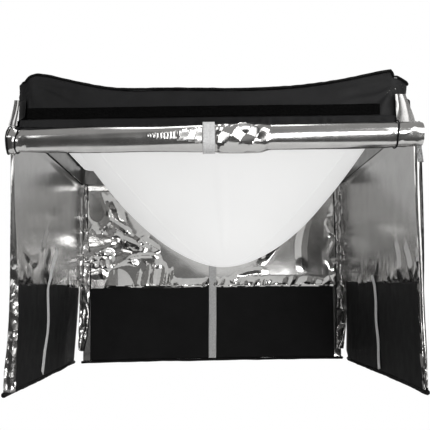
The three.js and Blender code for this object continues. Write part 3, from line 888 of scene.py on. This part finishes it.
def make_band(name, side):
    low, high = ENDS[side]
    a, b = low + BAND_INSET, high - BAND_INSET
    s, w = grid(300, 90)
    x = a + s * (b - a)
    top = band_top(side, x)
    h = 0.012 + w * (top - 0.012)
    soft = 0.0006 * noise(x * 9, h * 9, 161 + side) + 0.0004 * noise(x * 40, h * 18, 162)
    middle = wall(side, x, h, 0.0026 + soft)
    piece = shell(f"{name}_band", middle, HEAVY_CLOTH, BAND)
    place(piece, f"{name}_skirt", "black_cloth", f"{name}_skirt_band")


def make_hem(name, side):
    low, high = ENDS[side]
    x = np.linspace(low - 0.004, high + 0.004, 360)
    twist = 0.0005 * np.sin(x * 900) + 0.0005 * noise(x * 40, side, 171)
    if side == BACK:
        radius = 0.0042 + twist
    else:
        front = ramp(x, 0.2, 0.45) if side == LEFT else ramp(x, -0.2, -0.45)
        radius = 0.0048 + 0.0008 * front + twist
    h = 0.0065 + 0.0008 * noise(x * 12, 4, 172)
    piece = tube(f"{name}_hem_cord", wall(side, x, h, 0.0), radius, PIPING, 12)
    place(piece, f"{name}_skirt", "black_cloth", f"{name}_skirt_hem")


def make_strap(name, side, x_of, top, bottom):
    h = np.linspace(top, bottom, 90)
    x = x_of(h)
    lift = 0.0058 + 0.0010 * np.sin(h * 55) * ramp(h, top, top - 0.06)
    lift = lift + 0.006 * ramp(h, BAND_TOP - 0.01, BAND_TOP + 0.03) * (1 if side != BACK else 0.4)
    path = wall(side, x, h, lift)
    tangent = np.gradient(path, axis=0)
    tangent /= np.linalg.norm(tangent, axis=1, keepdims=True)
    normal = turned(np.array([0, 1.0, 0]), side)
    piece = ribbon(f"{name}_strap_web", path, np.cross(normal, tangent), 0.0255, 0.0013, STRAP)
    place(piece, f"{name}_strap", "webbing", f"{name}_skirt_strap")


SIGN = {LEFT: -1, RIGHT: 1}
FLAP_EDGES = {  # the inner and the outer edge's distance from the middle, by height
    LEFT: (
        (
            (0.0, 0.4387), (0.08, 0.4379), (0.145, 0.4360), (0.23, 0.4367),
            (0.342, 0.4434), (0.431, 0.4486), (0.61, 0.4515),
        ),
        (
            (0.0, 0.4638), (0.06, 0.4623), (0.10, 0.4585), (0.17, 0.4552),
            (0.34, 0.4556), (0.43, 0.4566), (0.61, 0.4605),
        ),
    ),
    RIGHT: (
        (
            (0.0, 0.4500), (0.05, 0.4482), (0.136, 0.4457), (0.25, 0.4462),
            (0.357, 0.4452), (0.447, 0.4447), (0.61, 0.4460),
        ),
        (
            (0.0, 0.4545), (0.093, 0.4552), (0.224, 0.4541), (0.29, 0.4562),
            (0.38, 0.4586), (0.50, 0.4600), (0.61, 0.4605),
        ),
    ),
}
BORDER_ENDS = {
    LEFT: (
        ((0.58, 0.4470), (0.6125, 0.4460), (0.6562, 0.4430), (0.67, 0.4420)),
        ((0.58, 0.4670), (0.595, 0.4668), (0.6125, 0.4625), (0.64, 0.4565), (0.67, 0.4530)),
    ),
    RIGHT: (
        ((0.59, 0.4083), (0.6078, 0.4083), (0.64, 0.4079), (0.67, 0.4075)),
        ((0.59, 0.4520), (0.6078, 0.4493), (0.64, 0.4400), (0.668, 0.4311), (0.68, 0.4290)),
    ),
}
CLOSURE_EDGES = {
    LEFT: (
        (
            (0.02, 0.4420), (0.034, 0.4408), (0.07, 0.4340), (0.12, 0.4275),
            (0.2, 0.4234), (0.34, 0.4234), (0.42, 0.4310), (0.6, 0.4345),
        ),
        ((0.02, 0.4560), (0.034, 0.4590), (0.07, 0.4600), (0.12, 0.4590), (0.3, 0.4570), (0.6, 0.4560)),
    ),
    RIGHT: (
        ((0.02, 0.4190), (0.1, 0.4225), (0.33, 0.4282), (0.6, 0.4262)),
        ((0.02, 0.4440), (0.1, 0.4550), (0.33, 0.4585), (0.6, 0.4580)),
    ),
}


def strip(name, side, edges, s, h, y, thickness=FILM, back=None):
    """A narrow silver strip between two edge curves, facing forwards, or to the room at the back."""
    inner, outer = (along(h, *edge) for edge in edges)
    middle = points(SIGN[side] * (inner + (outer - inner) * s), y, h)
    if (side == LEFT) == bool(back):
        middle = middle[:, ::-1]
    # The strips take the darker foil copy, which is painted shade.
    return shell(name, middle, thickness, FOIL_WALL_SHADE, back, crease=FOIL_CREASE)


def make_edge_strip(name, side):
    """Silver flap down the front edge of a side skirt, with a black binding on its outer edge."""
    s, w = grid(12, 300)
    h = 0.012 + w * 0.592
    fold = 0.0012 * np.sin(5 * s + 2.5 * noise(s, h * 5, 181 + side))
    low = ramp(h, 0.36, 0.22) if side == LEFT else ramp(h, 0.12, 0.03)
    fold = fold + crumple(s * 0.02, h * 0.8, 0.020, 183 + side) * 0.30 * low
    y = -0.4535 - 0.0015 * s - np.abs(fold)
    piece = strip(f"{name}_edge_strip", side, FLAP_EDGES[side], s, h, y)
    place(piece, f"{name}_skirt", "silver_cloth", f"{name}_edge_flap")
    h = np.linspace(0.008, 0.602, 160)
    radius = 0.0011 + 0.0002 * noise(h * 200, side, 187)
    if side == RIGHT:
        radius = radius + 0.0013 * ramp(h, 0.20, 0.30)
    line = points(SIGN[side] * (along(h, *FLAP_EDGES[side][1]) + 0.0004), -0.4545, h)
    place(tube(f"{name}_edge_binding", line, radius, PIPING, 8), f"{name}_skirt", "black_cloth")


def make_border_end(name, side):
    """The front end of a side skirt's top border, where its silver face folds round the header's corner."""
    low, top = (0.598, 0.657) if side == LEFT else (0.600, 0.667)
    s, w = grid(24, 90)
    h = low + w * (top - low)
    fold = 0.0004 * np.abs(np.sin(4 * s + 2 * noise(s * 2, h * 20, 191 + side)))
    if side == RIGHT:
        fold = fold + creased(s * 0.04, h, 0.036, 193) * 0.05
    y = -0.4545 - fold - 0.002 * ramp(h, 0.64, 0.606)
    piece = strip(f"{name}_border_end", side, BORDER_ENDS[side], s, h, y, CLOTH)
    place(piece, "cover", "silver_cloth")


def make_closure(name, side):
    """Crinkled silver strip with bound edges that joins a side skirt to the back one."""
    s, w = grid(20, 300)
    h = 0.030 + w * 0.588
    y = 0.4490 - creased(s * 0.040, h * 0.6, 0.016, 203 + side) * 0.65
    piece = strip(f"{name}_closure_strip", side, CLOSURE_EDGES[side], s, h, y, back=BLACK)
    place(piece, f"{name}_closure", "silver_cloth", f"{name}_corner_closure")
    h = h[0]
    inner, outer = (along(h, *edge) for edge in CLOSURE_EDGES[side])
    for k, edge in enumerate((inner, outer - 0.011)):
        line = points(SIGN[side] * edge, 0.4475, h)
        radius = 0.0015 + 0.0003 * noise(h * 160, k, 207)
        bound = tube(f"{name}_closure_binding_{k}", line, radius, PIPING, 8)
        place(bound, f"{name}_closure", "silver_cloth")


# ---- rolled front skirt ----
ROLL_Y, ROLL_H, ROLL_R = -0.4875, 0.5625, 0.0300
ROLL_TILT = 0.013
ROLL_PITCH = 0.0044
ROLL_TURNS = 4.6
ROLL_ENDS = (-0.4575, 0.4535)
ROLL_CORDS = (-0.4345, 0.3965)  # where the skirt's bound edges run round the roll
ROLL_HANG = (-0.4526, 0.5965)
ROLL_STRAP_X = -0.0175


ROLL_TAPER = (
    (-0.46, 0.88), (-0.452, 1.0), (-0.441, 1.02), (-0.4345, 0.88), (-0.42, 0.86), (-0.38, 0.92),
    (-0.32, 0.98), (0.0, 1.0), (0.20, 1.04), (0.34, 1.05), (0.38, 1.03), (0.3965, 0.98), (0.41, 1.0),
    (0.44, 0.95), (0.46, 0.89),
)


def roll_taper(x):
    """The roll's radius along its length, as a share: pinched inside its edge flaps."""
    return along(x, *ROLL_TAPER)


def roll_bulge(x, turn):
    """Outward shift of the rolled cloth, for a place along the roll and an angle round it.

    The front is at pi. Every layer has the same shift at one angle, so that layers don't cross."""
    phi = np.mod(turn, 2 * np.pi)
    round_front = ramp(phi, 0.0, 0.6) * ramp(phi, 2 * np.pi, 2 * np.pi - 0.6)
    down = (phi - np.pi) * ROLL_R  # along the skin, from the front's middle downwards
    long_fold = 0.0009 * np.sin(3 * phi + 1.2 * noise(x * 2.5, 0, 211))
    long_fold = long_fold + 0.0006 * np.sin(5 * phi + 2 * noise(x * 3, 3, 212))
    crush = ramp(x, -0.004, 0.010) * ramp(x, 0.125, 0.075)
    end_crush = ramp(x, -0.395, -0.43) * 0.5 + ramp(x, 0.385, 0.40) * 0.35
    small = crumple(x, down, 0.024, 219) - 0.01
    pressed_to = np.where(x < ROLL_STRAP_X, 0.003 + 0.095 * np.clip(x + 0.155, 0, 0.13), 0.016)
    pressed_zone = ramp(x, -0.165, -0.145) * ramp(x, 0.120, 0.095)
    pressed = np.minimum(np.abs(down), pressed_to) ** 2 / (2 * ROLL_R) * pressed_zone
    inside = ramp(np.abs(down), pressed_to * 1.15, pressed_to * 0.85)
    ripples = pleats(x + 0.0012 * noise(x * 50, down * 90, 217), 0.0070, 0.42) * inside
    ripples = ripples * ramp(x, -0.160, -0.140) * ramp(x, -0.080, -0.090)
    wedge = pleats(x + 0.35 * down + 0.3, 0.034, 0.42) * inside
    wedge = wedge * ramp(x, -0.090, -0.080) * ramp(x, -0.026, -0.034)
    facets = pleats(x + 0.8 * down - 0.004, 0.058, 0.42)
    facets = facets + pleats(0.5 * x - down + 0.010, 0.044, 0.28) - 0.005
    crushed = facets * crush * np.exp(-((down / 0.028) ** 2))
    swell = 0.0010 * crush * (1 - 1.5 * np.sin(phi))
    pinch = -0.0016 * np.exp(-(((x - ROLL_STRAP_X) / 0.016) ** 2))
    body = pressed + ripples + wedge + crushed + small * 0.25 * end_crush
    return (long_fold + body + swell) * round_front + pinch


def make_roll():
    """The front skirt from the header's hook strip down to its roll, and round and round inwards."""
    x = np.linspace(*ROLL_ENDS, 560)
    around = np.linspace(0, 2 * np.pi * ROLL_TURNS, 360)
    xx, turn = np.meshgrid(x, -around, indexing="ij")
    radius = ROLL_R - ROLL_PITCH * around / (2 * np.pi)
    rr = radius * roll_taper(xx) + roll_bulge(xx, turn) * radius / ROLL_R
    y = ROLL_Y + rr * np.cos(turn)
    h = ROLL_H + rr * np.sin(turn) + ROLL_TILT * xx
    t = np.linspace(0, 1, 8, endpoint=False)
    hang_y = ROLL_HANG[0] + (y[:, :1] - ROLL_HANG[0]) * t**1.4
    hang_h = ROLL_HANG[1] + (h[:, :1] - ROLL_HANG[1]) * t
    middle = points(x[:, None], np.concatenate([hang_y, y], 1), np.concatenate([hang_h, h], 1))
    piece = shell("front_skirt_rolled", middle, FILM, FOIL_ROLLED, BLACK, crease=FOIL_CREASE)
    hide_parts("front_skirt_sheet", "front_skirt_roll")
    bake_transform(piece)


def roll_surface(x, turn, lift):
    """Points on the roll's outside, raised by lift."""
    rr = ROLL_R * roll_taper(x) + roll_bulge(x, turn) + lift
    return points(x, ROLL_Y + rr * np.cos(turn), ROLL_H + rr * np.sin(turn) + ROLL_TILT * x)


def make_roll_trim():
    s, w = grid(10, 120)
    x = ROLL_STRAP_X + (s - 0.5) * 0.0265
    hoop = roll_surface(np.full_like(x, ROLL_STRAP_X), -w * 2 * np.pi, 0.0018)
    hoop[..., 0] = x
    hoop = np.swapaxes(hoop[:, :-1], 0, 1)
    strap = shell("roll_strap_web", hoop, 0.0012, ROLL_STRAP, loop=True)
    place(strap, "front_roll", "webbing", "roll_strap")
    ring = -np.linspace(0, 2 * np.pi, 140, endpoint=False)
    for k, at in enumerate((*ROLL_CORDS, ROLL_ENDS[0] + 0.0035)):
        lean = 0.0022 * np.sin(ring) + 0.0010 * np.sin(ring * 3 + k)
        line = roll_surface(at + lean, ring, 0.0012)
        cord = tube(f"roll_edge_cord_{k}", line, 0.0014, PIPING, 8, closed=True)
        place(cord, "front_roll", "black_cloth")
    s, w = grid(8, 40)
    low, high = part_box("roll_end_tab")
    x = low.x + 0.001 + s * (high.x - low.x - 0.002) + 0.004 * w
    y = -0.489 + 0.002 * noise(w * 3, s, 221)
    tab = shell("roll_tab_web", points(x, y, 0.549 - w * 0.045)[:, ::-1], 0.0016, TAB)
    place(tab, "front_roll", "webbing", "roll_end_tab")


# ---- hardware ----
def finish_hardware():
    """Materials of the CAD nodes that stay."""
    slots = {"stud": STEEL, "bracket_screw_front": STEEL, "bracket_screw_back": STEEL}
    slots |= {n: ALUMINIUM for n in ("stud_bracket", "retainer_ring", "core_ring", "rod_ring")}
    slots |= {n: MOULDED for n in ("lock_knob_left", "lock_knob_right")}
    for corner in ("front_left", "front_right", "back_right", "back_left"):
        slots[f"rod_{corner}"] = STEEL
        slots[f"rod_socket_{corner}"] = ALUMINIUM
        slots[f"corner_pocket_{corner}"] = MOULDED
    for name, m in slots.items():
        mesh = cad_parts[name].data
        mesh.materials.clear()
        mesh.materials.append(m)


# ---- build ----
make_header()
make_binding()
make_hook_strips()
make_front_border()
make_roof()
make_diffuser()
for skirt, facing in SKIRTS.items():
    make_lining(skirt, facing)
    make_outer(skirt, facing)
    make_band(skirt, facing)
    make_hem(skirt, facing)
for skirt in ("left", "right"):
    make_edge_strip(skirt, SKIRTS[skirt])
    make_border_end(skirt, SKIRTS[skirt])
    make_closure(skirt, SKIRTS[skirt])
make_strap(
    "left", LEFT,
    lambda h: along(h, (0.015, 0.122), (0.07, 0.091), (0.18, 0.088), (0.27, 0.103), (0.345, 0.02)),
    0.345, 0.022,
)
make_strap("right", RIGHT, lambda h: along(h, (0.01, -0.044), (0.14, -0.019), (0.27, -0.004)), 0.268, 0.016)
make_strap("back", BACK, lambda h: along(h, (0.0, 0.004), (0.2, 0.001), (0.35, 0.0)), 0.345, 0.012)
make_roll()
make_roll_trim()
finish_hardware()


# ---- studio ----
FLOOR_H = -0.9
FLOOR_R = 1.6


def world_nodes():
    """White behind the object. What the foil mirrors is darker, above all at the front left and below."""
    world = bpy.data.worlds.new("studio")
    bpy.context.scene.world = world
    world.use_nodes = True
    tree = world.node_tree
    direction = node(tree, "SeparateXYZ", Vector=node(tree, "TexCoord").outputs["Generated"]).outputs

    def spread(value, low, high, start=0.0, end=1.0):
        ends = {"From_Min": low, "From_Max": high, "To_Min": start, "To_Max": end}
        return node(tree, "MapRange", interpolation_type="SMOOTHSTEP", Value=value, **ends).outputs["Result"]

    def blend(factor, a, b):
        return node(tree, "Mix", Factor=factor, A=a, B=b).outputs["Result"]

    sideways = spread(direction["X"], -0.35, 0.30, FRONT_LEFT, FRONT_RIGHT)
    behind = spread(direction["Y"], -0.3, 0.3)
    above = spread(direction["Z"], 0.45, 0.8)
    below = spread(direction["Z"], -0.12, -0.40)
    level = blend(above, blend(below, blend(behind, sideways, REAR), BELOW), OVERHEAD)
    link = tree.links.new
    mirrored = tree.nodes["Background"]
    link(level, mirrored.inputs["Strength"])
    mirrored.inputs["Color"].default_value = (1, 0.99, 0.975, 1)
    seen = node(tree, "Background", Color=(1, 1, 1, 1))
    mix = node(tree, "MixShader", Fac=node(tree, "LightPath").outputs["Is Camera Ray"])
    link(mirrored.outputs[0], mix.inputs[1])
    link(seen.outputs[0], mix.inputs[2])
    link(mix.outputs[0], tree.nodes["World Output"].inputs["Surface"])


FRONT_LEFT, FRONT_RIGHT, REAR, OVERHEAD, BELOW = 0.075, 0.34, 0.34, 0.34, 0.07
LIGHTS = (  # name, place, aimed at, width, height, watts
    ("key", (2.3, -2.6, 1.3), (0, 0, 0.5), 2.2, 2.0, 46),
    ("strip", (0.85, -3.2, -0.12), (0.3, 0, 0.5), 1.1, 0.6, 22),
    ("fill", (-2.2, -2.6, 1.7), (0, 0, 0.5), 2.0, 1.6, 22),
    ("top", (0.0, 0.2, 2.8), (0, 0, 0.5), 1.0, 0.8, 10),
    ("rear", (0.6, 3.0, 1.4), (0, 0, 0.5), 1.6, 1.2, 30),
)


def make_studio():
    glow = {"Emission_Color": (1, 1, 1, 1), "Emission_Strength": 0.12}
    pale, _, _ = material("floor", grey(0.85), 0.8, **glow)
    around = np.linspace(0, 2 * np.pi, 96, endpoint=False)
    rim = points(FLOOR_R * np.cos(around), FLOOR_R * np.sin(around), FLOOR_H)
    finished("floor", rim, [list(range(len(rim)))], [pale])
    world_nodes()
    for name, at, aim, width, height, power in LIGHTS:
        light = bpy.data.lights.new(name, "AREA")
        light.shape, light.size, light.size_y, light.energy = "RECTANGLE", width, height, power
        lamp = bpy.data.objects.new(name, light)
        bpy.context.collection.objects.link(lamp)
        lamp.location = (at[0], at[1], up(at[2]))
        toward = Vector((aim[0], aim[1], up(aim[2]))) - lamp.location
        lamp.rotation_euler = toward.to_track_quat("-Z", "Y").to_euler()
        lamp.visible_camera = False
    bpy.context.scene.view_settings.view_transform = "Standard"


make_studio()
